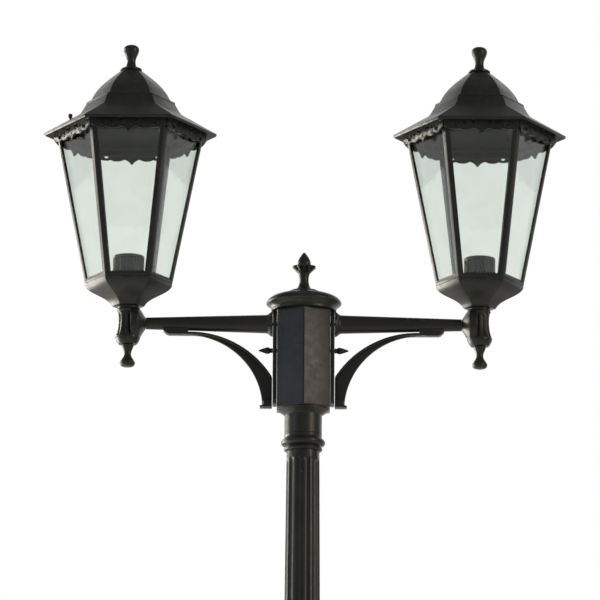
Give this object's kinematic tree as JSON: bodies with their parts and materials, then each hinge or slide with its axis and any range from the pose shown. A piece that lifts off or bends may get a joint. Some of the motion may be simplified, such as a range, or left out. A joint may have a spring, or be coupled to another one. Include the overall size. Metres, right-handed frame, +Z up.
{
  "type": "street lamp post",
  "caption": "Fluted lamp post carrying a pair of six-sided glazed lanterns on tapered arms with curved braces.",
  "frame": {"origin": "on the ground under the centre of the pole, at the middle of the base flange's underside", "axes": "+Z up the pole, +X from the pole towards the right lantern, -Y towards the viewer's side"},
  "size_m": [0.6674, 0.26, 2.25],
  "materials": {
    "black_enamel": "semi-gloss black powder coat over a slightly grainy aluminium casting",
    "clear_glass": "clear flat glass with a faint green tint",
    "lampholder_ceramic": "white glazed porcelain",
    "zinc_plated_steel": "dull zinc plating",
    "cable_sheath": "matt black rubber sheath",
    "lead_sheath": "white heat-resistant sheath",
    "terminal_plastic": "ivory moulded plastic"
  },
  "bodies": {
    "post": {"anchor_bolt_1": "zinc_plated_steel", "anchor_bolt_2": "zinc_plated_steel", "anchor_bolt_3": "zinc_plated_steel", "anchor_bolt_4": "zinc_plated_steel", "base_flange": "black_enamel", "fluted_pole": "black_enamel", "head_box": "black_enamel", "left_arm": "black_enamel", "left_arm_knob": "black_enamel", "left_arm_plate": "black_enamel", "left_arm_socket": "black_enamel", "left_base_bowl": "black_enamel", "left_brace": "black_enamel", "left_cage": "black_enamel", "left_drop_finial": "black_enamel", "left_lampholder": "lampholder_ceramic", "left_lampholder_cup": "black_enamel", "left_lead": "lead_sheath", "left_pane_1": "clear_glass", "left_pane_2": "clear_glass", "left_pane_3": "clear_glass", "left_pane_4": "clear_glass", "left_pane_5": "clear_glass", "left_pane_6": "clear_glass", "left_valance": "black_enamel", "lower_ring": "black_enamel", "neck_sleeve": "black_enamel", "pedestal": "black_enamel", "plinth": "black_enamel", "pole_collar": "black_enamel", "pole_set_screw": "black_enamel", "right_arm": "black_enamel", "right_arm_knob": "black_enamel", "right_arm_plate": "black_enamel", "right_arm_socket": "black_enamel", "right_base_bowl": "black_enamel", "right_brace": "black_enamel", "right_cage": "black_enamel", "right_drop_finial": "black_enamel", "right_lampholder": "lampholder_ceramic", "right_lampholder_cup": "black_enamel", "right_lead": "lead_sheath", "right_pane_1": "clear_glass", "right_pane_2": "clear_glass", "right_pane_3": "clear_glass", "right_pane_4": "clear_glass", "right_pane_5": "clear_glass", "right_pane_6": "clear_glass", "right_valance": "black_enamel", "supply_cable": "cable_sheath", "terminal_block": "terminal_plastic", "terminal_bracket": "zinc_plated_steel"},
    "left_roof": {"left_roof": "black_enamel", "left_roof_finial": "black_enamel", "left_roof_screw": "black_enamel"},
    "right_roof": {"right_roof": "black_enamel", "right_roof_finial": "black_enamel", "right_roof_screw": "black_enamel"},
    "head_cap": {"cap_finial": "black_enamel", "head_cap": "black_enamel"}
  },
  "joints": [
    {"name": "left_roof_lift", "type": "slide", "parent": "post", "child": "left_roof", "axis": [0, 0, 1], "range_m": [0, 0.12]},
    {"name": "right_roof_lift", "type": "slide", "parent": "post", "child": "right_roof", "axis": [0, 0, 1], "range_m": [0, 0.12]},
    {"name": "head_cap_lift", "type": "slide", "parent": "post", "child": "head_cap", "axis": [0, 0, 1], "range_m": [0, 0.08]}
  ]
}
